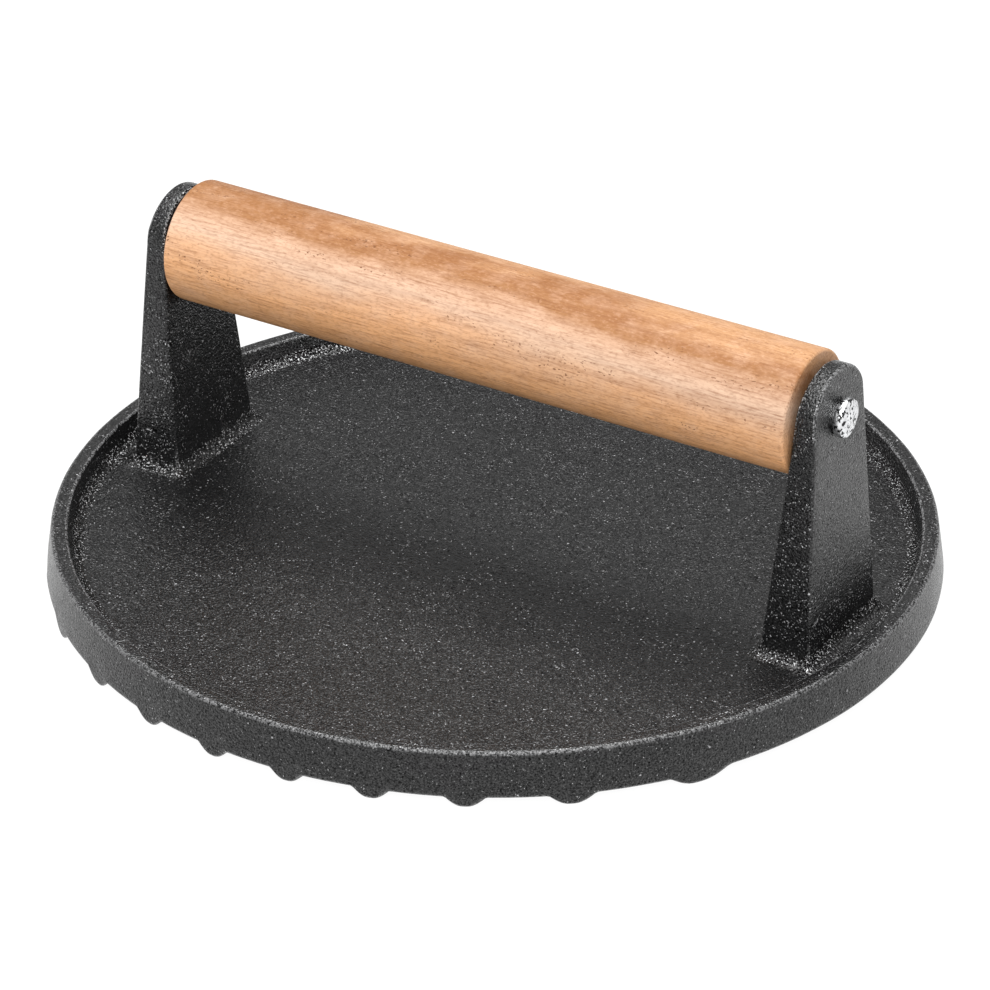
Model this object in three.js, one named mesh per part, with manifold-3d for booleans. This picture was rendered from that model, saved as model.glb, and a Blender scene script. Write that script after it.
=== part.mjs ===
// A round grill press in three pieces: one iron casting, a turned wooden grip, and the rivet rod
// that carries the grip between the casting's two posts. Millimetres, +Z up, grip along X.
import * as THREE from 'three';
import { mergeVertices } from 'three/addons/utils/BufferGeometryUtils.js';
import Module from 'manifold-3d';

const wasm = await Module();
wasm.setup();

// ---- driving dimensions ----
const plateRadius = 89;          // 178 mm (7 in) across the bottom edge of the side wall
const ribHeight = 2;             // grill ribs stand this far below the plate
const plateThickness = 4.8;
const wallHeight = 9.4;          // bottom edge of the side wall to the top of the lip
const wallDraft = 1.15;          // the side wall leans in by this much over its height
const lipWidth = 3.4;
const gripAxisHeight = 53.6;     // grip centre line above the surface the press stands on
const gripRadius = 12.35;
const gripHalfLength = 69.6;
const rodRadius = 3;
const boreRadius = 4.2;          // loose bore, so the grip hangs on the rod and turns freely

// ---- worked out from them ----
const wallBottom = ribHeight;
const floorHeight = wallBottom + plateThickness;
const lipHeight = wallBottom + wallHeight;
const touchGap = 0.3;            // clearance kept between neighbouring pieces
const rodAxisHeight = gripAxisHeight + boreRadius - rodRadius - touchGap;

const plate = {
  edgeRound: 1.2,                // outer top edge of the lip
  innerRound: 0.8,               // inner top edge of the lip
  innerDraft: 0.7,
  floorFillet: 2.5,
  bottomRound: 0.8,
  segments: 120,
};
const rib = {
  count: 10,
  pitch: 16.4,
  rootWidth: 7,
  crestFlat: 1.4,
  sink: 1,                       // how far a rib runs up into the plate
};
const post = {
  footHalfWidth: 13.8,
  topHalfWidth: 9.8,             // where the straight sides end
  crownRadius: 10.7,             // round top, centred on the grip's own centre line
  footInner: 66.7,
  footOuter: 77.6,
  shoulderHeight: 43,            // above this the inner face leans a little less
  shoulderInner: 69.95,
  topInner: 71.2,
  topOuter: 74.7,
  sink: 2,                       // how far the post runs down into the plate
};
const postTop = gripAxisHeight + post.crownRadius;
const grip = { endRound: 1.4, boreChamfer: 0.6, segments: 64 };
const rivet = { headRadius: 3.9, headHeight: 2, crownRadius: 2.7, segments: 40 };

const iron = new THREE.MeshStandardMaterial({ color: 0x2b2c2e, roughness: 0.75, metalness: 0.4 });
const beech = new THREE.MeshStandardMaterial({ color: 0xd9a574, roughness: 0.6, metalness: 0 });
const steel = new THREE.MeshStandardMaterial({ color: 0xc9ccd0, roughness: 0.3, metalness: 1 });

// ---- helpers ----
function toSolid(geometry) {
  const plain = geometry.clone();
  plain.deleteAttribute('normal');
  plain.deleteAttribute('uv');
  const merged = mergeVertices(plain, 1e-4);
  return new wasm.Manifold(new wasm.Mesh({
    numProp: 3,
    vertProperties: new Float32Array(merged.attributes.position.array),
    triVerts: new Uint32Array(merged.index.array),
  }));
}

function toGeometry(solid) {
  const mesh = solid.getMesh();
  const geometry = new THREE.BufferGeometry();
  geometry.setAttribute('position', new THREE.BufferAttribute(mesh.vertProperties, 3));
  geometry.setIndex(new THREE.BufferAttribute(mesh.triVerts, 1));
  geometry.computeVertexNormals();
  return geometry;
}

function namedMesh(name, geometry, material) {
  const mesh = new THREE.Mesh(geometry, material);
  mesh.name = name;
  return mesh;
}

// Points of a round corner, given its centre, radius and the two angles in degrees.
function roundCorner(cx, cy, radius, fromDeg, toDeg, steps = 4) {
  return Array.from({ length: steps + 1 }, (_, i) => {
    const angle = THREE.MathUtils.degToRad(fromDeg + ((toDeg - fromDeg) * i) / steps);
    return new THREE.Vector2(cx + radius * Math.cos(angle), cy + radius * Math.sin(angle));
  });
}

// A solid turned about the vertical axis from (radius, height) points.
function turned(profile, segments) {
  return new THREE.LatheGeometry(profile, segments).rotateX(Math.PI / 2);
}

// A solid turned about the X axis; the profile's y values run along X.
function turnedAlongX(profile, segments) {
  return new THREE.LatheGeometry(profile, segments).rotateZ(-Math.PI / 2);
}

// ---- casting: dished plate ----
function plateSolid() {
  const topRadius = plateRadius - wallDraft;
  const lipInner = topRadius - lipWidth;
  const floorEdge = lipInner - plate.innerDraft;
  const profile = [
    new THREE.Vector2(0, wallBottom),
    ...roundCorner(plateRadius - plate.bottomRound, wallBottom + plate.bottomRound,
      plate.bottomRound, -90, 0),
    ...roundCorner(topRadius - plate.edgeRound, lipHeight - plate.edgeRound,
      plate.edgeRound, 0, 90),
    ...roundCorner(lipInner + plate.innerRound, lipHeight - plate.innerRound,
      plate.innerRound, 90, 180),
    ...roundCorner(floorEdge - plate.floorFillet, floorHeight + plate.floorFillet,
      plate.floorFillet, 0, -90, 5),
    new THREE.Vector2(0, floorHeight),
  ];
  return toSolid(turned(profile, plate.segments));
}

// ---- casting: grill ribs across the underside, cut off flush with the side wall ----
function ribSolid(x) {
  const section = new THREE.Shape();
  section.moveTo(-rib.rootWidth / 2, ribHeight + rib.sink);
  section.lineTo(-rib.rootWidth / 2, ribHeight);
  section.quadraticCurveTo(-rib.rootWidth / 3, 0, -rib.crestFlat / 2, 0);
  section.lineTo(rib.crestFlat / 2, 0);
  section.quadraticCurveTo(rib.rootWidth / 3, 0, rib.rootWidth / 2, ribHeight);
  section.lineTo(rib.rootWidth / 2, ribHeight + rib.sink);
  section.closePath();
  const length = 2 * plateRadius + 10;
  const options = { depth: length, bevelEnabled: false, curveSegments: 5 };
  const bar = new THREE.ExtrudeGeometry(section, options);
  bar.rotateX(Math.PI / 2).translate(x, length / 2, 0);
  return toSolid(bar);
}

function ribEnvelope() {
  const inset = 0.6;             // the wall's rounded bottom edge carries on over the rib ends
  const profile = [
    new THREE.Vector2(0, -1),
    new THREE.Vector2(plateRadius - 2 * inset, -1),
    new THREE.Vector2(plateRadius - inset, 0),
    new THREE.Vector2(plateRadius - inset / 4, ribHeight / 2),
    new THREE.Vector2(plateRadius - inset / 4, ribHeight + rib.sink + 1),
    new THREE.Vector2(0, ribHeight + rib.sink + 1),
  ];
  return toSolid(turned(profile, plate.segments));
}

// ---- casting: the post at +X, with its rivet hole ----
function postSolid() {
  const foot = floorHeight - post.sink;
  const spare = 5;               // each outline is extruded this far past the other one
  const front = new THREE.Shape();
  const corner = Math.acos(post.topHalfWidth / post.crownRadius);
  front.moveTo(-post.footHalfWidth, foot);
  front.lineTo(post.footHalfWidth, foot);
  front.absarc(0, gripAxisHeight, post.crownRadius, corner, Math.PI - corner, false);
  front.closePath();
  const depth = post.footOuter - post.footInner + 2 * spare;
  const slab = new THREE.ExtrudeGeometry(front, { depth, bevelEnabled: false, curveSegments: 18 });
  slab.rotateX(Math.PI / 2).rotateZ(Math.PI / 2).translate(post.footInner - spare, 0, 0);

  const side = new THREE.Shape();
  side.moveTo(post.footInner, foot);
  side.lineTo(post.footOuter, foot);
  side.lineTo(post.topOuter, postTop);
  side.lineTo(post.topInner, postTop);
  side.lineTo(post.shoulderInner, post.shoulderHeight);
  side.closePath();
  const width = 2 * (post.footHalfWidth + spare);
  const wedge = new THREE.ExtrudeGeometry(side, { depth: width, bevelEnabled: false });
  wedge.rotateX(Math.PI / 2).translate(0, width / 2, 0);

  const holeRadius = rodRadius + touchGap;
  const hole = new THREE.CylinderGeometry(holeRadius, holeRadius, 4 * spare, rivet.segments);
  hole.rotateZ(Math.PI / 2).translate(post.topInner, 0, rodAxisHeight);
  return toSolid(slab).intersect(toSolid(wedge)).subtract(toSolid(hole));
}

function castIronPress() {
  const envelope = ribEnvelope();
  let casting = plateSolid();
  for (let i = 0; i < rib.count; i += 1) {
    const x = (i - (rib.count - 1) / 2) * rib.pitch;
    casting = casting.add(ribSolid(x).intersect(envelope));
  }
  const rightPost = postSolid();
  casting = casting.add(rightPost).add(rightPost.mirror([1, 0, 0]));
  return namedMesh('cast_iron_press', toGeometry(casting), iron);
}

// ---- wooden grip: a dowel with rounded ends, bored right through ----
function woodenGrip() {
  const end = gripHalfLength;
  const edge = gripRadius - grip.endRound;
  const chamfer = grip.boreChamfer;
  const profile = [
    new THREE.Vector2(boreRadius, -end + chamfer),
    new THREE.Vector2(boreRadius + chamfer, -end),
    ...roundCorner(edge, -end + grip.endRound, grip.endRound, -90, 0, 5),
    ...roundCorner(edge, end - grip.endRound, grip.endRound, 0, 90, 5),
    new THREE.Vector2(boreRadius + chamfer, end),
    new THREE.Vector2(boreRadius, end - chamfer),
    new THREE.Vector2(boreRadius, -end + chamfer),
  ];
  const mesh = namedMesh('wooden_grip', turnedAlongX(profile, grip.segments), beech);
  mesh.position.set(0, 0, gripAxisHeight);
  return mesh;
}

// Where a post's leaning outer face is at a height.
function outerFaceX(height) {
  const share = (postTop - height) / (postTop - floorHeight + post.sink);
  return post.topOuter + share * (post.footOuter - post.topOuter);
}

// ---- rivet rod: shank through both posts with a formed head at each end ----
function rivetRod() {
  const seat = outerFaceX(rodAxisHeight - rivet.headRadius) + touchGap;
  const tip = seat + rivet.headHeight;
  const shoulder = seat + rivet.headHeight / 2;
  const head = [
    new THREE.Vector2(rodRadius, seat),
    new THREE.Vector2(rivet.headRadius - 0.1, seat),
    new THREE.Vector2(rivet.headRadius, shoulder),
    new THREE.Vector2(rivet.headRadius - 0.3, shoulder + 0.35),
    new THREE.Vector2(rivet.crownRadius, tip - 0.15),
    new THREE.Vector2(0, tip),
  ];
  const farHead = head.map((point) => new THREE.Vector2(point.x, -point.y)).reverse();
  const mesh = namedMesh('rivet_rod', turnedAlongX([...farHead, ...head], rivet.segments), steel);
  mesh.position.set(0, 0, rodAxisHeight);
  return mesh;
}

const baconPress = new THREE.Group();
baconPress.add(castIronPress(), woodenGrip(), rivetRod());

export default baconPress;
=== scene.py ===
import math
import random

import bmesh
import bpy
from mathutils import Matrix, Vector, noise


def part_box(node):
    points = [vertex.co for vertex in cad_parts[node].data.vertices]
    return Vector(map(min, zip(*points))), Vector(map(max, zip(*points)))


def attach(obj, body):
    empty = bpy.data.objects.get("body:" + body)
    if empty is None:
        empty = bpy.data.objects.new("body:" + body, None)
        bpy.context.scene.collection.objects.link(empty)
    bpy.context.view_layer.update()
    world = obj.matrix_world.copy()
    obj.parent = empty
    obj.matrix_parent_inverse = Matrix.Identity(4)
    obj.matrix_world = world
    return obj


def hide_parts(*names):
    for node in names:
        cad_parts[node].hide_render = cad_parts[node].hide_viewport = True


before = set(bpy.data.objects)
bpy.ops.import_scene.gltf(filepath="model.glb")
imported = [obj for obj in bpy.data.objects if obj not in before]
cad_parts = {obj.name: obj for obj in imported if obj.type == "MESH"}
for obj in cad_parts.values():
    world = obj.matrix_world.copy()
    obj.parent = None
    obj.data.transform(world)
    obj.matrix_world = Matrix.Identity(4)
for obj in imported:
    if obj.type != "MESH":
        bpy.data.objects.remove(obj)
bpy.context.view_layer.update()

mm = 0.001
weldDistance = 1e-4                               # millimetres

gripLow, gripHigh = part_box("wooden_grip")
rodLow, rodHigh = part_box("rivet_rod")
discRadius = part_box("cast_iron_press")[1].x
gripHeight = (gripLow.z + gripHigh.z) / 2
rodHeight = (rodLow.z + rodHigh.z) / 2


# small helpers

def makeObject(name, bm):
    mesh = bpy.data.meshes.new(name)
    bm.to_mesh(mesh)
    bm.free()
    obj = bpy.data.objects.new(name, mesh)
    bpy.context.scene.collection.objects.link(obj)
    return obj


def bakeModifiers(obj):
    # the modifiers' result becomes the mesh itself
    bpy.context.view_layer.update()
    graph = bpy.context.evaluated_depsgraph_get()
    baked = bpy.data.meshes.new_from_object(obj.evaluated_get(graph))
    obj.modifiers.clear()
    obj.data = baked
    return obj


def boolean(obj, other, operation):
    cut = obj.modifiers.new(operation.lower(), "BOOLEAN")
    cut.operation = operation
    cut.solver = "MANIFOLD"
    cut.object = other
    bakeModifiers(obj)
    bpy.data.objects.remove(other)
    return obj


def shadeSmooth(obj, angle=math.radians(38)):
    for polygon in obj.data.polygons:
        polygon.use_smooth = True
    obj.data.set_sharp_from_angle(angle=angle)


def arcPoints(centre, radius, start, stop, steps):
    # points of an arc as (across, up), angles in degrees
    points = []
    for i in range(steps + 1):
        a = math.radians(start + (stop - start) * i / steps)
        points.append((centre[0] + radius * math.cos(a), centre[1] + radius * math.sin(a)))
    return points


def mix(a, b, t):
    return a + (b - a) * t


# node helpers

def addNode(tree, kind, inputs=None, **settings):
    node = tree.nodes.new(kind)
    for key, value in settings.items():
        setattr(node, key, value)
    for key, value in (inputs or {}).items():
        if isinstance(value, bpy.types.NodeSocket):
            tree.links.new(value, node.inputs[key])
        else:
            node.inputs[key].default_value = value
    return node


def mathNode(tree, operation, a, b=0.0, clamp=False):
    node = addNode(tree, "ShaderNodeMath", {0: a, 1: b}, operation=operation, use_clamp=clamp)
    return node.outputs[0]


def addUp(tree, *terms, clamp=False):
    total = terms[0]
    for i, term in enumerate(terms[1:], 2):
        total = mathNode(tree, "ADD", total, term, clamp and i == len(terms))
    return total


def product(tree, *factors):
    result = factors[0]
    for factor in factors[1:]:
        result = mathNode(tree, "MULTIPLY", result, factor)
    return result


def newMaterial(name):
    material = bpy.data.materials.new(name)
    material.use_nodes = True
    material.node_tree.nodes.clear()
    return material, material.node_tree


def noiseAt(tree, coords, scale, detail=2.0, roughness=0.55, stretch=None):
    source = coords
    if stretch:                                   # below 1 along an axis draws the pattern out
        values = {"Vector": coords, "Scale": stretch}
        source = addNode(tree, "ShaderNodeMapping", values).outputs[0]
    values = {"Vector": source, "Scale": scale, "Detail": detail, "Roughness": roughness}
    return addNode(tree, "ShaderNodeTexNoise", values).outputs["Fac"]


def objectCoords(tree):
    return addNode(tree, "ShaderNodeTexCoord").outputs["Object"]


def attribute(tree, name):
    return addNode(tree, "ShaderNodeAttribute", attribute_name=name).outputs["Fac"]


def vectorMath(tree, operation, a, b):
    second = "Scale" if operation == "SCALE" else 1
    return addNode(tree, "ShaderNodeVectorMath", {0: a, second: b}, operation=operation).outputs[0]


def bumped(tree, height, strength, distance, under=None):
    values = {"Strength": strength, "Distance": distance, "Height": height}
    if under is not None:                         # the bump is laid over another one
        values["Normal"] = under
    return addNode(tree, "ShaderNodeBump", values).outputs[0]


def finished(tree, values):
    # the surface shader with these socket values, wired to the output
    shader = addNode(tree, "ShaderNodeBsdfPrincipled", values)
    output = addNode(tree, "ShaderNodeOutputMaterial")
    tree.links.new(shader.outputs[0], output.inputs[0])


def ranged(tree, value, low, high, newLow, newHigh):
    values = {"Value": value, "From Min": low, "From Max": high,
              "To Min": newLow, "To Max": newHigh}
    return addNode(tree, "ShaderNodeMapRange", values).outputs["Result"]


def mixedColour(tree, factor, a, b):
    # sockets 0, 6, 7 and output 2 are the colour ones of a mix node
    node = addNode(tree, "ShaderNodeMix", data_type="RGBA")
    for index, value in ((0, factor), (6, a), (7, b)):
        if isinstance(value, bpy.types.NodeSocket):
            tree.links.new(value, node.inputs[index])
        else:
            node.inputs[index].default_value = value
    return node.outputs[2]


# cast iron

ironFinish = {
    # specks: grains of sand left standing, rubbed bare on top and painted bright as glints, and the
    # pits of grains that fell out, painted black as their shadow
    "cellsPerMetre": 2000, "speckRadius": 0.37, "smallestSpeck": 0.5, "speckEdge": (0.02, 0.12),
    "pitShare": 0.7, "crowdedPatch": (0.46, 0.64),
    "fewest": 0.08, "most": 0.85, "moreInHollows": 0.3, "moreOnEdges": 0.3, "moreWhereSandy": 0.4,
    "dullestSpeck": 0.1, "brightestSpeck": 0.5, "wobblePerMetre": 2600, "wobble": 0.0009,
    # close-packed sand skin: noise levels for a bare grain painted bright as a glint and for a gap
    # painted black as shadow, dressed and coarse
    "sandPerMetre": 3000, "sandBareGlint": 0.82, "bareGlintOver": (0.74, 0.61), "blackUnder": (0.27, 0.5),
    "sandEdge": 0.06, "sandOnEdges": 0.4, "sandyPatch": (0.4, 0.68), "patchSand": (-0.35, 0.2),
    # relief in metres, and the size of the patches
    "grainPerMetre": 2300, "grainHeight": 0.00024, "lumpPerMetre": 150, "lumpHeight": 0.0004,
    "speckRelief": 0.8, "lumpRelief": 0.5, "patchPerMetre": 120,
    # tones: the worn edge colour is partly painted highlight, the hollow colour painted shade, the
    # bare colour painted glints and the pit colour painted shadow
    "dark": (0.002, 0.002, 0.0021, 1), "pale": (0.006, 0.006, 0.0062, 1),
    "wornAndHighlight": (0.15, 0.15, 0.152, 1), "bareGlint": (0.7, 0.7, 0.71, 1),
    "hollowShadeTone": (0.003, 0.0025, 0.002, 1), "hollowShadeShare": 0.4, "pit": (0.001, 0.001, 0.001, 1),
    # gloss
    "smoothest": 0.21, "roughest": 0.28, "dullSand": 0.1, "glossySand": 0.9, "pitGloss": 0.06,
    "bareMetal": 0.35,
}


def castIron():
    f = ironFinish
    material, tree = newMaterial("castIron")
    coords = objectCoords(tree)
    grain = noiseAt(tree, coords, f["grainPerMetre"], 1.0, 0.5)
    lump = noiseAt(tree, coords, f["lumpPerMetre"], 2.0, 0.5)
    patch = noiseAt(tree, coords, f["patchPerMetre"], 3.0, 0.65)
    wearAndHighlight = attribute(tree, "edgeWearAndHighlight")
    hollow = attribute(tree, "hollow")
    sandy = attribute(tree, "sandy")

    # specks sit in some of the cells, more of them in some patches; wobbled coords fray them
    values = {"Vector": coords, "Scale": f["wobblePerMetre"], "Detail": 1.0}
    wobble = addNode(tree, "ShaderNodeTexNoise", values).outputs["Color"]
    shift = vectorMath(tree, "SUBTRACT", wobble, (0.5, 0.5, 0.5))
    shift = vectorMath(tree, "SCALE", shift, f["wobble"])
    values = {"Vector": vectorMath(tree, "ADD", coords, shift), "Scale": f["cellsPerMetre"]}
    cells = addNode(tree, "ShaderNodeTexVoronoi", values, feature="F1")
    chance = addNode(tree, "ShaderNodeSeparateColor", {0: cells.outputs["Color"]}).outputs
    crowd = addUp(tree, ranged(tree, patch, *f["crowdedPatch"], f["fewest"], f["most"]),
                  product(tree, hollow, f["moreInHollows"]), product(tree, wearAndHighlight, f["moreOnEdges"]),
                  product(tree, sandy, f["moreWhereSandy"]))
    here = mathNode(tree, "LESS_THAN", chance[0], crowd)
    size = ranged(tree, chance[1], 0, 1, f["smallestSpeck"] * f["speckRadius"], f["speckRadius"])
    reach = product(tree, size, here)
    away = cells.outputs["Distance"]
    depth = mathNode(tree, "SUBTRACT", product(tree, reach, reach), product(tree, away, away))
    ball = mathNode(tree, "SQRT", mathNode(tree, "MAXIMUM", depth, 0.0))
    pit = mathNode(tree, "LESS_THAN", chance[2], f["pitShare"])
    inSpeck = ranged(tree, ball, *f["speckEdge"], 0.0, 1.0)
    brightness = ranged(tree, chance[1], 0, 1, f["dullestSpeck"], f["brightestSpeck"])
    # speck tops: bare metal, painted bright as glints
    bareTopGlint = product(tree, inSpeck, mathNode(tree, "SUBTRACT", 1.0, pit), brightness)
    # pits painted black as their own shadow
    blackShadow = product(tree, inSpeck, pit)

    # close-packed sand skin where the mould was never dressed: crests painted bright as glints,
    # gaps between grains painted black as shadow
    sand = noiseAt(tree, coords, f["sandPerMetre"], 1.0, 0.5)
    coarse = addUp(tree, sandy, addUp(tree, hollow, product(tree, wearAndHighlight, f["sandOnEdges"])))
    coarse = addUp(tree, coarse, ranged(tree, patch, *f["sandyPatch"], *f["patchSand"]), clamp=True)
    over = mathNode(tree, "SUBTRACT", sand, ranged(tree, coarse, 0, 1, *f["bareGlintOver"]))
    under = mathNode(tree, "SUBTRACT", ranged(tree, coarse, 0, 1, *f["blackUnder"]), sand)
    bareSandGlint = product(tree, ranged(tree, over, 0.0, f["sandEdge"], 0.0, 1.0), f["sandBareGlint"])
    bareTopGlint = mathNode(tree, "MAXIMUM", bareTopGlint, bareSandGlint)
    gapShadow = ranged(tree, under, 0.0, f["sandEdge"], 0.0, 1.0)
    blackShadow = mathNode(tree, "MAXIMUM", blackShadow, gapShadow)

    tone = mixedColour(tree, ranged(tree, grain, 0.4, 0.7, 0.0, 1.0), f["dark"], f["pale"])
    # edges lightened: rubbed wear, and painted highlight on the rounded edges
    wornGrainAndHighlight = product(tree, mathNode(tree, "POWER", wearAndHighlight, 2.0),
                        ranged(tree, grain, 0.42, 0.6, 0.0, 1.0))
    # painted shade: darker in the hollows
    hollowShade = product(tree, hollow, f["hollowShadeShare"])
    for share, colour in ((wornGrainAndHighlight, f["wornAndHighlight"]), (hollowShade, f["hollowShadeTone"]),
                          (bareTopGlint, f["bareGlint"]), (blackShadow, f["pit"])):
        tone = mixedColour(tree, share, tone, colour)

    relief = product(tree, ball, ranged(tree, pit, 0, 1, 1, -1))      # grains stand, pits sink
    standing = bumped(tree, relief, f["speckRelief"], 1 / f["cellsPerMetre"])
    fine = bumped(tree, grain, 1.0, f["grainHeight"], standing)
    broad = bumped(tree, lump, f["lumpRelief"], f["lumpHeight"], fine)
    # crests of the sand skin shine more than its hollows, and pits hardly at all
    pebbled = ranged(tree, sand, 0.3, 0.7, f["dullSand"], f["glossySand"])
    gloss = product(tree, pebbled, ranged(tree, blackShadow, 0, 1, 1, f["pitGloss"]))
    finished(tree, {
        "Base Color": tone, "Metallic": product(tree, bareTopGlint, f["bareMetal"]), "IOR": 1.5,
        "Roughness": ranged(tree, patch, 0.3, 0.7, f["smoothest"], f["roughest"]),
        "Specular IOR Level": gloss, "Normal": broad})
    return material


# the casting: dished disc with ribs under it and a post at each end

casting = {                                       # millimetres and degrees
    "ribHeight": 2.0, "ribPitch": 16.4, "ribWidth": 6.8, "crestFlat": 0.6, "ribCount": 10,
    "ribSwell": 1.2,                              # power of the rib's section, higher is leaner
    "plateThickness": 4.8, "wallHeight": 9.4, "wallDraft": 1.15, "bottomRound": 0.8,
    "lipWidth": 3.4, "lipOuterRound": 0.8, "lipInnerRound": 0.6, "lipCrown": 0.05,
    "innerDraft": 0.7, "floorFillet": 2.5,
    # mesh density, with extra steps over each rib's flanks
    "fillRows": 48, "stepDegrees": 1.5, "leastStep": 0.3, "flankStep": 0.5, "flankCount": 8,
    "flankEnd": 3.9,
    "unevenness": 0.05, "lowest": 0.01, "sliver": 0.003,
}
post = {                                          # millimetres
    "footHalfWidth": 13.8, "topHalfWidth": 9.8, "footInner": 66.7, "footOuter": 77.6,
    "shoulder": 43.0, "shoulderInner": 69.95, "topInner": 71.2, "topOuter": 74.7,
    "edgeRound": 0.6, "footFlare": 2.8, "outerFlare": 4.0, "flareSunk": 0.06, "buried": 1.5,
    "crownRadius": 10.7, "cornerRound": 0.6, "cornerInset": 0.12,
    "holeRadius": 3.3, "holeSegments": 48, "holeDepth": 30,
}
surfaceMarks = {
    "edgeFrom": 0.25, "edgeSpan": 1.2, "hollowFrom": 0.05, "hollowSpan": 0.4,   # bend per mm
    "untouched": 0.2,                             # edge wear, with its painted highlight, left below the grip's centre line
    # how sandy: pairs run from the foot of a post to its top
    "outerFace": (0.9, -0.5), "innerFace": 0.4, "flanks": (0.8, -0.1), "postTop": 0.3,
    "sideWall": -0.8, "insideWall": 0.15,
}
wallBottom = casting["ribHeight"]
floorLevel = wallBottom + casting["plateThickness"]
lipLevel = wallBottom + casting["wallHeight"]
postTop = gripHeight / mm + post["crownRadius"]


def discAngles(radius):
    # half a turn of angles: even steps, plus extra ones where the ribs' flanks are
    c = casting
    even = round(180 / c["stepDegrees"]) + 1
    wanted = [math.radians(c["stepDegrees"]) * i for i in range(even)]
    flank = [c["flankStep"] * i for i in range(c["flankCount"])] + [c["flankEnd"]]
    for n in range(c["ribCount"]):
        x = (n - (c["ribCount"] - 1) / 2) * c["ribPitch"]
        for offset in flank:
            for side in (-1, 1):
                wanted.append(math.acos((x + side * offset) / radius))
    wanted.sort()
    kept = [wanted[0]]
    for angle in wanted[1:]:
        if angle - kept[-1] > c["leastStep"] / radius:
            kept.append(angle)
    kept[-1] = math.pi
    return kept


def ringProfile():
    # (radius, height, share of the rib drop), from the underside over the lip to the floor
    c = casting
    radius = discRadius / mm
    top = radius - c["wallDraft"]
    inner = top - c["lipWidth"]
    floorEdge = inner - c["innerDraft"]
    r = c["bottomRound"]
    rows = [(*point, 1.0) for point in arcPoints((radius - r, wallBottom + r), r, -90, 0, 4)]
    wallRows, fade = 8, 3                         # the drop fades out over a third of the wall
    for i in range(1, wallRows):
        t = i / wallRows
        height = mix(wallBottom + r, lipLevel - c["lipOuterRound"], t)
        rows.append((mix(radius, top, t), height, max(0.0, 1 - fade * t)))
    outer, inside, fillet = c["lipOuterRound"], c["lipInnerRound"], c["floorFillet"]
    middle = mix(top - outer, inner + inside, 0.5)
    points = arcPoints((top - outer, lipLevel - outer), outer, 0, 90, 7)
    points.append((middle, lipLevel + c["lipCrown"]))
    points += arcPoints((inner + inside, lipLevel - inside), inside, 90, 172, 5)
    points += arcPoints((floorEdge - fillet, floorLevel + fillet), fillet, -8, -90, 8)
    return rows + [(*point, 0.0) for point in points]


def fillDisc(bm, upper, lower, rows, flip):
    # columns of quads that run along Y between the two halves of a ring
    columns = []
    for i in range(len(upper)):
        a, b = lower[i], upper[i]
        if a is b:
            columns.append([a])
            continue
        column = [a]
        for j in range(1, rows):
            column.append(bm.verts.new(a.co.lerp(b.co, j / rows)))
        columns.append(column + [b])
    for left, right in zip(columns, columns[1:]):
        for j in range(rows):
            if len(left) == 1:
                face = [left[0], right[j], right[j + 1]]
            elif len(right) == 1:
                face = [left[j], right[0], left[j + 1]]
            else:
                face = [left[j], right[j], right[j + 1], left[j + 1]]
            bm.faces.new(reversed(face) if flip else face)
    return [v for column in columns for v in column]


def discMesh():
    bm = bmesh.new()
    drop = bm.verts.layers.float.new("ribDrop")
    half = discAngles(discRadius / mm)
    whole = half + [-a for a in reversed(half[1:-1])]
    rings = []
    for radius, height, weight in ringProfile():
        ring = []
        for a in whole:
            v = bm.verts.new((radius * math.cos(a), radius * math.sin(a), height))
            v[drop] = weight
            ring.append(v)
        rings.append(ring)
    count = len(whole)
    for low, high in zip(rings, rings[1:]):
        for i in range(count):
            k = (i + 1) % count
            bm.faces.new((low[i], low[k], high[k], high[i]))
    for ring, flip, weight in ((rings[0], False, 1.0), (rings[-1], True, 0.0)):
        upper = ring[:len(half)]
        lower = [ring[0]] + list(reversed(ring[len(half):])) + [ring[len(half) - 1]]
        for v in fillDisc(bm, upper, lower, casting["fillRows"], flip):
            v[drop] = weight
    bmesh.ops.recalc_face_normals(bm, faces=bm.faces)
    return makeObject("castingBlank", bm)


def newTree(name, lengths, counts=()):
    # a Geometry Nodes tree with named inputs for its sizes
    tree = bpy.data.node_groups.new(name, "GeometryNodeTree")
    face = tree.interface
    face.new_socket("Geometry", in_out="INPUT", socket_type="NodeSocketGeometry")
    for label in lengths:
        face.new_socket(label, in_out="INPUT", socket_type="NodeSocketFloat")
    for label in counts:
        face.new_socket(label, in_out="INPUT", socket_type="NodeSocketInt")
    face.new_socket("Material", in_out="INPUT", socket_type="NodeSocketMaterial")
    face.new_socket("Geometry", in_out="OUTPUT", socket_type="NodeSocketGeometry")
    return tree, tree.nodes.new("NodeGroupInput").outputs


def endTree(tree, geometry, material):
    real = addNode(tree, "GeometryNodeRealizeInstances", {0: geometry}).outputs[0]
    clad = addNode(tree, "GeometryNodeSetMaterial", {"Geometry": real, "Material": material})
    tree.links.new(clad.outputs[0], tree.nodes.new("NodeGroupOutput").inputs[0])
    return tree


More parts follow.
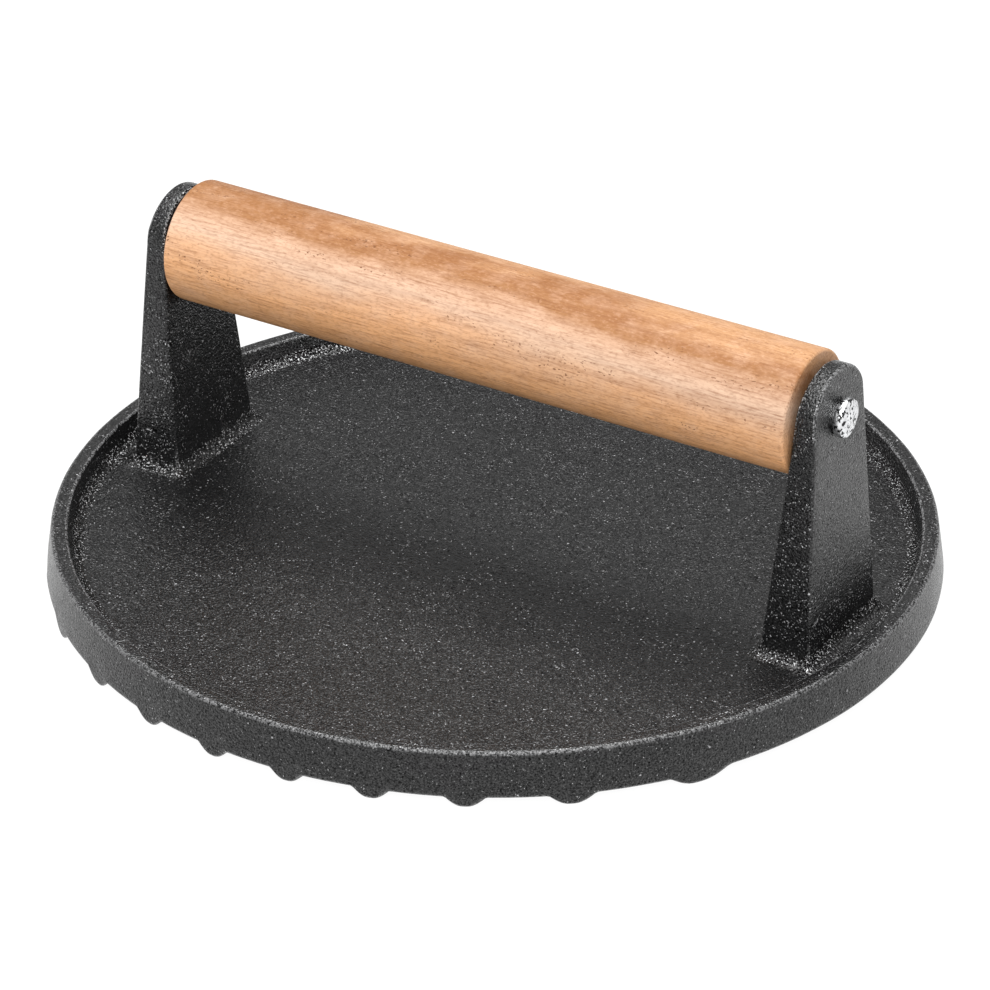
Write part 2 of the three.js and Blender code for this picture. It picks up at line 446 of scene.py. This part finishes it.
def ribTree():
    # moves the underside down into evenly spaced rounded ribs that run along Y
    lengths = ("Pitch", "Height", "Width", "Crest", "Swell", "Half span")
    tree, given = newTree("grillRibs", lengths)
    position = tree.nodes.new("GeometryNodeInputPosition").outputs[0]
    x = addNode(tree, "ShaderNodeSeparateXYZ", {0: position}).outputs[0]
    turn = mathNode(tree, "FRACT", mathNode(tree, "DIVIDE", x, given["Pitch"]))
    fromMiddle = mathNode(tree, "ABSOLUTE", mathNode(tree, "SUBTRACT", turn, 0.5))
    away = product(tree, fromMiddle, given["Pitch"])
    past = mathNode(tree, "SUBTRACT", away, product(tree, given["Crest"], 0.5))
    flank = product(tree, mathNode(tree, "SUBTRACT", given["Width"], given["Crest"]), 0.5)
    share = mathNode(tree, "DIVIDE", past, flank, clamp=True)
    dome = mathNode(tree, "SUBTRACT", 1.0, product(tree, share, share), clamp=True)
    swell = mathNode(tree, "POWER", dome, given["Swell"])
    inside = mathNode(tree, "LESS_THAN", mathNode(tree, "ABSOLUTE", x), given["Half span"])
    weight = addNode(tree, "GeometryNodeInputNamedAttribute", {"Name": "ribDrop"},
                     data_type="FLOAT").outputs[0]
    amount = product(tree, swell, inside, product(tree, weight, given["Height"]))
    down = addNode(tree, "ShaderNodeCombineXYZ", {2: product(tree, amount, -1.0)}).outputs[0]
    moved = addNode(tree, "GeometryNodeSetPosition",
                    {"Geometry": given["Geometry"], "Offset": down}).outputs[0]
    return endTree(tree, moved, given["Material"])


def runTree(obj, tree, values):
    # sets the named inputs by identifier, then keeps only the resulting mesh
    modifier = obj.modifiers.new(tree.name, "NODES")
    modifier.node_group = tree
    for item in tree.interface.items_tree:
        if item.in_out == "INPUT" and item.name in values:
            modifier[item.identifier] = values[item.name]
    return bakeModifiers(obj)


def innerFaceX(height):
    p = post
    shoulder = p["shoulder"]
    if height < shoulder:
        share = (height - floorLevel) / (shoulder - floorLevel)
        return mix(p["footInner"], p["shoulderInner"], share)
    return mix(p["shoulderInner"], p["topInner"], (height - shoulder) / (postTop - shoulder))


def outerFaceX(height):
    share = (height - floorLevel) / (postTop - floorLevel)
    return mix(post["footOuter"], post["topOuter"], share)


def postStations():
    # (half width, height, flare, normal) from the foot up the side and over the round top
    p = post
    crown = gripHeight / mm                       # centre of the round top
    side = p["topHalfWidth"]
    corner = crown + math.sqrt(p["crownRadius"] ** 2 - side ** 2)

    def widthAt(z):
        return mix(p["footHalfWidth"], side, (z - floorLevel) / (corner - floorLevel))

    stations = [(p["footHalfWidth"], floorLevel - p["buried"], 1.0, (1, 0))]
    flareRows, sideRows, crownRows = 8, 16, 15
    for i in range(flareRows + 1):                # the flare meets the floor at a slight angle
        a = math.radians(90 - 90 * i / flareRows)
        z = floorLevel - p["flareSunk"] + p["footFlare"] * (1 - math.sin(a))
        stations.append((widthAt(z), z, 1 - math.cos(a), (1, 0)))
    start = stations[-1][1]
    below = corner - p["cornerRound"]
    for i in range(1, sideRows + 1):
        z = mix(start, below, i / sideRows)
        stations.append((widthAt(z), z, 0, (1, 0)))
    # soft corner between the side and the round top, then the round top
    turned = math.asin((corner + p["cornerRound"] - crown) / p["crownRadius"])
    halfway = (math.cos(turned / 2), math.sin(turned / 2))
    stations.append((side - p["cornerInset"], corner, 0, halfway))
    for i in range(crownRows + 1):
        a = mix(turned, math.pi / 2, i / crownRows)
        normal = (math.cos(a), math.sin(a))
        height = crown + p["crownRadius"] * normal[1]
        stations.append((p["crownRadius"] * normal[0], height, 0, normal))
    return stations


def postMesh(side):
    bm = bmesh.new()
    steps, columns = 5, 8                         # faces round an edge, and across a face
    turn = [math.pi / 2 * j / steps for j in range(steps + 1)]
    between = [j / columns for j in range(1, columns)]
    rows = []
    for halfWidth, height, spread, normal in postStations():
        flare = spread * post["footFlare"]
        outward = spread * post["outerFlare"]
        radius = post["edgeRound"] + flare
        strip = []
        for a in reversed(turn):                      # outer face to side
            inset = radius * (1 - math.cos(a))
            z = height - normal[1] * inset
            x = outerFaceX(z) + outward - radius * (1 - math.sin(a))
            strip.append((x, halfWidth + flare - normal[0] * inset, z))
        for a in turn:                                # side to inner face
            inset = radius * (1 - math.cos(a))
            z = height - normal[1] * inset
            x = innerFaceX(z) - flare + radius * (1 - math.sin(a))
            strip.append((x, halfWidth + flare - normal[0] * inset, z))
        first, last = strip[0], strip[-1]
        loop = strip + [(last[0], mix(last[1], -last[1], t), last[2]) for t in between]
        loop += [(x, -y, z) for x, y, z in reversed(strip)]
        loop += [(first[0], mix(-first[1], first[1], t), first[2]) for t in between]
        rows.append([bm.verts.new((side * x, y, z)) for x, y, z in loop])
    size = len(rows[0])
    for low, high in zip(rows, rows[1:]):
        for i in range(size):
            k = (i + 1) % size
            bm.faces.new((low[i], low[k], high[k], high[i]))
    bm.faces.new(rows[0])
    # the top row is a flat strip folded on itself: its two halves are sewn together
    bmesh.ops.remove_doubles(bm, verts=bm.verts, dist=weldDistance)
    bmesh.ops.dissolve_degenerate(bm, edges=bm.edges, dist=weldDistance)
    bmesh.ops.recalc_face_normals(bm, faces=bm.faces)
    return makeObject("postBlank", bm)


def rodHole(side):
    bm = bmesh.new()
    place = Matrix.Translation((side * post["topInner"], 0, rodHeight / mm))
    place = place @ Matrix.Rotation(math.pi / 2, 4, "Y")
    bmesh.ops.create_cone(bm, cap_ends=True, segments=post["holeSegments"], matrix=place,
                          radius1=post["holeRadius"], radius2=post["holeRadius"],
                          depth=post["holeDepth"])
    return makeObject("holeBlank", bm)


def sharpestBends(v):
    # the most convex and the most hollow bend at a vertex, in radians per millimetre
    most = least = 0.0
    for edge in v.link_edges:
        if len(edge.link_faces) == 2:
            reach = sum(f.calc_area() for f in edge.link_faces) / (2 * edge.calc_length())
            bend = edge.calc_face_angle_signed(0.0) / max(reach, 0.1)
            most = max(most, bend)
            least = min(least, bend)
    return most, least


def markSurface(obj):
    # attributes for the finish: rubbed edges that also take painted highlight, hollows that take
    # painted shade, and how coarse the sand skin is
    m = surfaceMarks
    bm = bmesh.new()
    bm.from_mesh(obj.data)
    wearAndHighlight = bm.verts.layers.float.new("edgeWearAndHighlight")
    hollow = bm.verts.layers.float.new("hollow")
    sandy = bm.verts.layers.float.new("sandy")
    for v in bm.verts:
        most, least = sharpestBends(v)
        v[wearAndHighlight] = min(1.0, max(0.0, most - m["edgeFrom"]) / m["edgeSpan"])
        v[hollow] = min(1.0, max(0.0, -least - m["hollowFrom"]) / m["hollowSpan"])
        away = math.hypot(v.co.x, v.co.y)
        if v.co.z > lipLevel + 1:                     # posts: coarse sand low, finer higher up
            share = (v.co.z - lipLevel) / (postTop - lipLevel)
            facing = v.normal.x if v.co.x > 0 else -v.normal.x
            if facing > 0.5:
                v[sandy] = mix(*m["outerFace"], min(1, 2 * share))
            elif facing < -0.5:
                v[sandy] = m["innerFace"]
            else:
                v[sandy] = mix(*m["flanks"], share)
            if v.co.z < gripHeight / mm:
                v[wearAndHighlight] *= m["untouched"]             # fingers and spatulas only reach the top; the painted edge highlight drops with the wear
            else:
                v[sandy] += m["postTop"]
        elif v.normal.z < 0.9 and away > discRadius / mm - 1.6:
            v[sandy] = m["sideWall"]                  # the side wall was ground smooth
        elif v.co.z > floorLevel + 0.3:
            v[sandy] = m["insideWall"]                # lip and the inside of the wall
    bm.to_mesh(obj.data)
    bm.free()


def cleanSeams(obj):
    # the joins leave a few slivers with no area
    bm = bmesh.new()
    bm.from_mesh(obj.data)
    bmesh.ops.dissolve_degenerate(bm, edges=bm.edges, dist=casting["sliver"])
    bm.to_mesh(obj.data)
    bm.free()


def unevenSkin(obj):
    # a sand mould never leaves a true plane: gentle swells over a centimetre or two
    normals = [v.normal.copy() for v in obj.data.vertices]
    for v, normal in zip(obj.data.vertices, normals):
        swell = noise.noise(v.co * 0.09) + 0.5 * noise.noise(v.co * 0.25 + Vector((7, 3, 1)))
        v.co += normal * swell * casting["unevenness"]
        v.co.z = max(v.co.z, casting["lowest"])   # the crests were dressed flat, so it stands level


def makeCasting(material):
    c = casting
    body = discMesh()
    runTree(body, ribTree(), {
        "Pitch": c["ribPitch"], "Height": c["ribHeight"], "Width": c["ribWidth"],
        "Crest": c["crestFlat"], "Swell": c["ribSwell"],
        "Half span": c["ribPitch"] * c["ribCount"] / 2, "Material": material})
    for side in (1, -1):
        upright = boolean(postMesh(side), rodHole(side), "DIFFERENCE")
        boolean(body, upright, "UNION")
    cleanSeams(body)
    unevenSkin(body)
    markSurface(body)
    body.data.transform(Matrix.Scale(mm, 4))
    body.name = "iron_casting"
    body.data.materials.clear()
    body.data.materials.append(material)
    shadeSmooth(body)
    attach(body, "press")
    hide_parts("cast_iron_press")
    print("casting:", len(body.data.polygons), "faces")


# beech

woodFinish = {
    # growth layers across the dowel, darkened towards its top as painted shade, from its underside
    # (-1) over the front to its top (1)
    "layers": [(-1.0, (0.54, 0.28, 0.125, 1)), (-0.7, (0.66, 0.345, 0.16, 1)),
               (-0.2, (0.56, 0.325, 0.187, 1)), (0.12, (0.50, 0.34, 0.24, 1)),
               (0.36, (0.47, 0.30, 0.20, 1)), (0.70, (0.27, 0.125, 0.05, 1)),
               (0.86, (0.26, 0.115, 0.045, 1)), (1.0, (0.42, 0.23, 0.115, 1))],
    "lean": 26, "drift": 2.2, "waver": 0.22,      # degrees, radii per metre, radii
    "streak": (0.17, 0.062, 0.022, 1), "light": (0.60, 0.40, 0.28, 1),
    "pore": (0.13, 0.05, 0.02, 1),
    "waverPerMetre": 90, "streakPerMetre": 3000, "bandPerMetre": 600, "fleckPerMetre": 2200,
    "cloudPerMetre": 260, "porePerMetre": 3300, "poreCrowdPerMetre": 300,
    # how strongly each one tints the wood
    "cloudShare": 0.25, "bandShare": 0.25, "streakShare": 0.55, "fleckShare": 0.4,
    "lightFleckShare": 0.22, "poreShare": 0.8,
    "relief": 0.00008, "smoothest": 0.45, "roughest": 0.6, "gloss": 0.15,
}


def beech():
    f = woodFinish
    material, tree = newMaterial("beech")
    coords = objectCoords(tree)
    parts = addNode(tree, "ShaderNodeSeparateXYZ", {0: coords}).outputs
    lean = math.radians(f["lean"])
    up = product(tree, mathNode(tree, "SUBTRACT", parts[2], gripHeight), math.cos(lean))
    across = addUp(tree, up, product(tree, parts[1], math.sin(lean)))
    across = mathNode(tree, "DIVIDE", across, (gripHigh.z - gripLow.z) / 2)
    waver = noiseAt(tree, coords, f["waverPerMetre"], 3.0, 0.6, stretch=(0.22, 1, 1))
    across = addUp(tree, across, product(tree, parts[0], f["drift"]),
                   ranged(tree, waver, 0.3, 0.7, -f["waver"], f["waver"]))
    # the colour ramp darkens the top of the dowel: painted shade
    ramp = tree.nodes.new("ShaderNodeValToRGB")
    stops = ramp.color_ramp.elements
    for i, (place, colour) in enumerate(f["layers"]):
        stop = stops[i] if i < 2 else stops.new(1.0)
        stop.position = (place + 1) / 2
        stop.color = colour
    tree.links.new(ranged(tree, across, -1, 1, 0, 1), ramp.inputs[0])

    # everything is drawn out along the grain, which runs along X
    streak = noiseAt(tree, coords, f["streakPerMetre"], 3.0, 0.65, stretch=(0.06, 1, 1))
    band = noiseAt(tree, coords, f["bandPerMetre"], 2.0, 0.6, stretch=(0.05, 1, 1))
    fleck = noiseAt(tree, coords, f["fleckPerMetre"], 2.0, 0.6, stretch=(0.45, 1, 1))
    cloud = noiseAt(tree, coords, f["cloudPerMetre"], 3.0, 0.6, stretch=(0.8, 1, 1))
    pore = noiseAt(tree, coords, f["porePerMetre"], 0.0, 0.5, stretch=(0.45, 1, 1))
    poreCrowd = noiseAt(tree, coords, f["poreCrowdPerMetre"], 1.0, 0.5, stretch=(0.2, 1, 1))
    pores = product(tree, ranged(tree, pore, 0.72, 0.76, 0.0, 1.0),
                    ranged(tree, poreCrowd, 0.56, 0.66, 0.0, f["poreShare"]))

    tone = ramp.outputs[0]
    for pattern, start, full, share, colour in (
            (cloud, 0.45, 0.7, f["cloudShare"], f["light"]),
            (band, 0.48, 0.72, f["bandShare"], f["streak"]),
            (streak, 0.48, 0.72, f["streakShare"], f["streak"]),
            (fleck, 0.5, 0.75, f["fleckShare"], f["streak"]),
            (fleck, 0.46, 0.25, f["lightFleckShare"], f["light"])):
        tone = mixedColour(tree, ranged(tree, pattern, start, full, 0.0, share), tone, colour)
    tone = mixedColour(tree, pores, tone, f["pore"])

    relief = addUp(tree, product(tree, streak, 0.6), product(tree, fleck, 0.4))
    relief = mathNode(tree, "SUBTRACT", relief, pores)
    finished(tree, {
        "Base Color": tone, "Specular IOR Level": f["gloss"],
        "Roughness": ranged(tree, streak, 0.3, 0.7, f["smoothest"], f["roughest"]),
        "Normal": bumped(tree, relief, 0.8, f["relief"])})
    return material


# the grip: a dowel turned by a node tree

grip = {                                          # millimetres
    "bore": 4.2, "endRound": 0.7, "segments": 144, "roundSteps": 7,
}


def dowelTree():
    # a rounded section swept round a circle: a bored dowel along X
    tree, given = newTree("turnedDowel", ("Length", "Radius", "Bore", "End round", "Height"),
                          ("Segments", "Round steps"))
    thickness = mathNode(tree, "SUBTRACT", given["Radius"], given["Bore"])
    middle = product(tree, addUp(tree, given["Radius"], given["Bore"]), 0.5)
    section = addNode(tree, "GeometryNodeCurvePrimitiveQuadrilateral",
                      {"Width": thickness, "Height": given["Length"]}).outputs[0]
    values = {"Curve": section, "Radius": given["End round"], "Count": given["Round steps"]}
    rounded = addNode(tree, "GeometryNodeFilletCurve", values, mode="POLY").outputs[0]
    circle = addNode(tree, "GeometryNodeCurvePrimitiveCircle",
                     {"Resolution": given["Segments"], "Radius": middle}).outputs[0]
    swept = addNode(tree, "GeometryNodeCurveToMesh",
                    {"Curve": circle, "Profile Curve": rounded}).outputs[0]
    lift = addNode(tree, "ShaderNodeCombineXYZ", {2: given["Height"]}).outputs[0]
    values = {"Geometry": swept, "Rotation": (0, math.pi / 2, 0), "Translation": lift}
    laid = addNode(tree, "GeometryNodeTransform", values).outputs[0]
    return endTree(tree, laid, given["Material"])


def makeGrip(material):
    bm = bmesh.new()
    bm.verts.new((0, 0, 0))                       # a seed for the tree, which makes the shape
    dowel = makeObject("wood_dowel", bm)
    runTree(dowel, dowelTree(), {
        "Length": gripHigh.x - gripLow.x, "Radius": (gripHigh.z - gripLow.z) / 2,
        "Bore": grip["bore"] * mm, "End round": grip["endRound"] * mm, "Height": gripHeight,
        "Segments": grip["segments"], "Round steps": grip["roundSteps"], "Material": material})
    bm = bmesh.new()
    bm.from_mesh(dowel.data)
    bmesh.ops.remove_doubles(bm, verts=bm.verts, dist=weldDistance * mm)
    bmesh.ops.recalc_face_normals(bm, faces=bm.faces)
    bm.to_mesh(dowel.data)
    bm.free()
    shadeSmooth(dowel)
    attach(dowel, "grip")
    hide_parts("wooden_grip")
    print("grip:", len(dowel.data.polygons), "faces")


# bright steel

steelFinish = {
    "bright": (0.85, 0.86, 0.87, 1), "dull": (0.5, 0.5, 0.51, 1), "black": (0.015, 0.015, 0.015, 1),
    "scuffPerMetre": 1500, "smearPerMetre": 600, "chipPerMetre": 1250,
    "smearShare": 0.8, "chipShare": 0.97, "chipFrom": 0.545, "chipFull": 0.57,
    "relief": 0.0001, "smoothest": 0.2, "roughest": 0.45,
}


def brightSteel():
    f = steelFinish
    material, tree = newMaterial("brightSteel")
    coords = objectCoords(tree)
    scuff = noiseAt(tree, coords, f["scuffPerMetre"], 3.0, 0.6)
    smear = noiseAt(tree, coords, f["smearPerMetre"], 2.0, 0.5)
    chip = noiseAt(tree, coords, f["chipPerMetre"], 2.0, 0.6)
    smeared = ranged(tree, smear, 0.35, 0.7, 0.0, f["smearShare"])
    chipped = ranged(tree, chip, f["chipFrom"], f["chipFull"], 0.0, f["chipShare"])
    tone = mixedColour(tree, smeared, f["bright"], f["dull"])
    tone = mixedColour(tree, chipped, tone, f["black"])       # scale left in the hammer marks
    finished(tree, {
        "Base Color": tone, "Metallic": 1.0,
        "Roughness": ranged(tree, scuff, 0.3, 0.7, f["smoothest"], f["roughest"]),
        "Normal": bumped(tree, scuff, 0.7, f["relief"])})
    return material


# the rivet rod: plain shank, hammered head at +X, smooth made head at -X

rivet = {                                         # millimetres
    "shank": 3.0, "head": 3.9, "headHeight": 2.0, "lap": 0.2, "spokes": 72,
    "dents": 16, "dentReach": (0.6, 1.1), "dentDepth": (0.12, 0.3), "outOfRound": 0.03, "seed": 5,
}


def hammerMarks():
    # (y, z, reach, depth) of each dent in the head
    r = rivet
    random.seed(r["seed"])
    marks = []
    for i in range(r["dents"]):
        away = r["head"] * 0.92 * math.sqrt(random.random())
        turn = random.uniform(0, math.tau)
        marks.append((away * math.cos(turn), away * math.sin(turn),
                      random.uniform(*r["dentReach"]), random.uniform(*r["dentDepth"])))
    return marks


def rodProfile():
    # (radius, along, how much hammering) from the smooth head's top to the hammered head's
    shank, head = rivet["shank"], rivet["head"]
    seat = rodHigh.x / mm - rivet["headHeight"]
    lap = seat - rivet["lap"]
    near = [(shank, lap, 0), (head - 0.35, lap, 0), (head - 0.08, seat + 0.02, 0),
            (head, seat + 0.4, 0.2), (head, seat + 1.1, 0.5), (head - 0.12, seat + 1.45, 0.8)]
    for i in range(1, 13):
        t = i / 12
        along = seat + 1.65 + 0.35 * math.sin(t * math.pi / 2)
        near.append(((head - 0.35) * (1 - t) ** 0.9, along, 1))
    far = [(shank, -lap, 0), (head - 0.1, -lap, 0), (head, -seat, 0), (head, -seat - 0.5, 0)]
    for i in range(1, 9):
        a = math.pi / 2 * i / 8
        far.append((head * math.cos(a), -seat - 0.5 - 1.5 * math.sin(a), 0))
    return list(reversed(far)) + near


def rivetMesh():
    r = rivet
    marks = hammerMarks()
    bm = bmesh.new()
    rings = []
    for radius, along, amount in rodProfile():
        ring = []
        for i in range(r["spokes"]):
            a = math.tau * i / r["spokes"]
            y, z = radius * math.cos(a), radius * math.sin(a)
            sink = 0
            for markY, markZ, reach, depth in marks:
                away = ((y - markY) ** 2 + (z - markZ) ** 2) / reach ** 2
                if away < 1:
                    sink = max(sink, depth * (1 - away))
            bulge = noise.noise(Vector((math.cos(a) * 2, math.sin(a) * 2, 3)))
            grow = 1 + r["outOfRound"] * amount * bulge
            place = (along - sink * amount, y * grow, z * grow + rodHeight / mm)
            ring.append(bm.verts.new(place))
        rings.append(ring)
    for low, high in zip(rings, rings[1:]):
        for i in range(r["spokes"]):
            k = (i + 1) % r["spokes"]
            bm.faces.new((low[i], low[k], high[k], high[i]))
    bmesh.ops.remove_doubles(bm, verts=bm.verts, dist=weldDistance)
    bmesh.ops.recalc_face_normals(bm, faces=bm.faces)
    return makeObject("steel_rivet_rod", bm)


def makeRivet(material):
    rod = rivetMesh()
    rod.data.transform(Matrix.Scale(mm, 4))
    rod.data.materials.append(material)
    shadeSmooth(rod)
    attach(rod, "press")
    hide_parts("rivet_rod")
    print("rivet rod:", len(rod.data.polygons), "faces")


# studio

studio = {                                        # metres, degrees, lens in millimetres
    "floorSize": 6.0, "floorTone": (0.08, 0.08, 0.08, 1), "floorGlow": 0.96,
    "sky": (1.0, 1.0, 1.0, 1), "skyStrength": 0.44,
    "azimuth": 31.12, "elevation": 29.895, "distance": 0.9423, "aimHeight": 0.01514,
    "lens": 173.24, "sensor": 36, "lampAimHeight": 0.03,
}
lamps = [
    # name, place, size, watts
    ("overhead", (0.0, 0.0, 1.15), (1.3, 1.3), 26),
    ("front", (0.45, -1.1, 0.95), (0.8, 0.7), 15),
    ("left", (-1.3, -0.4, 0.4), (0.8, 0.6), 3),
    ("right", (1.3, 0.1, 0.4), (0.8, 0.6), 2.5),
]


def makeFloor():
    # white acrylic lit from below, so shadows stay faint
    bm = bmesh.new()
    half = studio["floorSize"] / 2
    corners = ((-half, -half), (half, -half), (half, half), (-half, half))
    bm.faces.new([bm.verts.new((x, y, 0)) for x, y in corners])
    floor = makeObject("studio_floor", bm)
    material, tree = newMaterial("lightTable")
    tooth = noiseAt(tree, objectCoords(tree), 400, 2.0)
    finished(tree, {
        "Base Color": studio["floorTone"], "Roughness": 0.8, "Specular IOR Level": 0.1,
        "Emission Color": (1, 1, 1, 1), "Emission Strength": studio["floorGlow"],
        "Normal": bumped(tree, tooth, 0.1, 0.0002)})
    floor.data.materials.append(material)


def makeLights():
    world = bpy.data.worlds.new("studioSky")
    world.use_nodes = True
    sky = world.node_tree.nodes["Background"]
    sky.inputs["Color"].default_value = studio["sky"]
    sky.inputs["Strength"].default_value = studio["skyStrength"]
    bpy.context.scene.world = world
    for name, place, size, watts in lamps:
        light = bpy.data.lights.new(name, "AREA")
        light.shape = "RECTANGLE"
        light.size, light.size_y = size
        light.energy = watts
        lamp = bpy.data.objects.new(name, light)
        lamp.location = place
        towards = Vector((0, 0, studio["lampAimHeight"])) - Vector(place)
        lamp.rotation_euler = towards.to_track_quat("-Z", "Y").to_euler()
        bpy.context.scene.collection.objects.link(lamp)


def makeCamera():
    s = studio
    azimuth, elevation = math.radians(s["azimuth"]), math.radians(s["elevation"])
    aim = Vector((0, 0, s["aimHeight"]))
    back = Vector((math.sin(azimuth) * math.cos(elevation),
                   -math.cos(azimuth) * math.cos(elevation), math.sin(elevation)))
    lens = bpy.data.cameras.new("camera")
    lens.lens = s["lens"]
    lens.sensor_width = s["sensor"]
    camera = bpy.data.objects.new("camera", lens)
    camera.location = aim + back * s["distance"]
    camera.rotation_euler = (-back).to_track_quat("-Z", "Y").to_euler()
    bpy.context.scene.collection.objects.link(camera)
    bpy.context.scene.camera = camera
    # plain colours, and white stays white
    bpy.context.scene.view_settings.view_transform = "Standard"


makeCamera()
makeLights()
makeFloor()
print("studio ready")
makeCasting(castIron())
makeGrip(beech())
makeRivet(brightSteel())
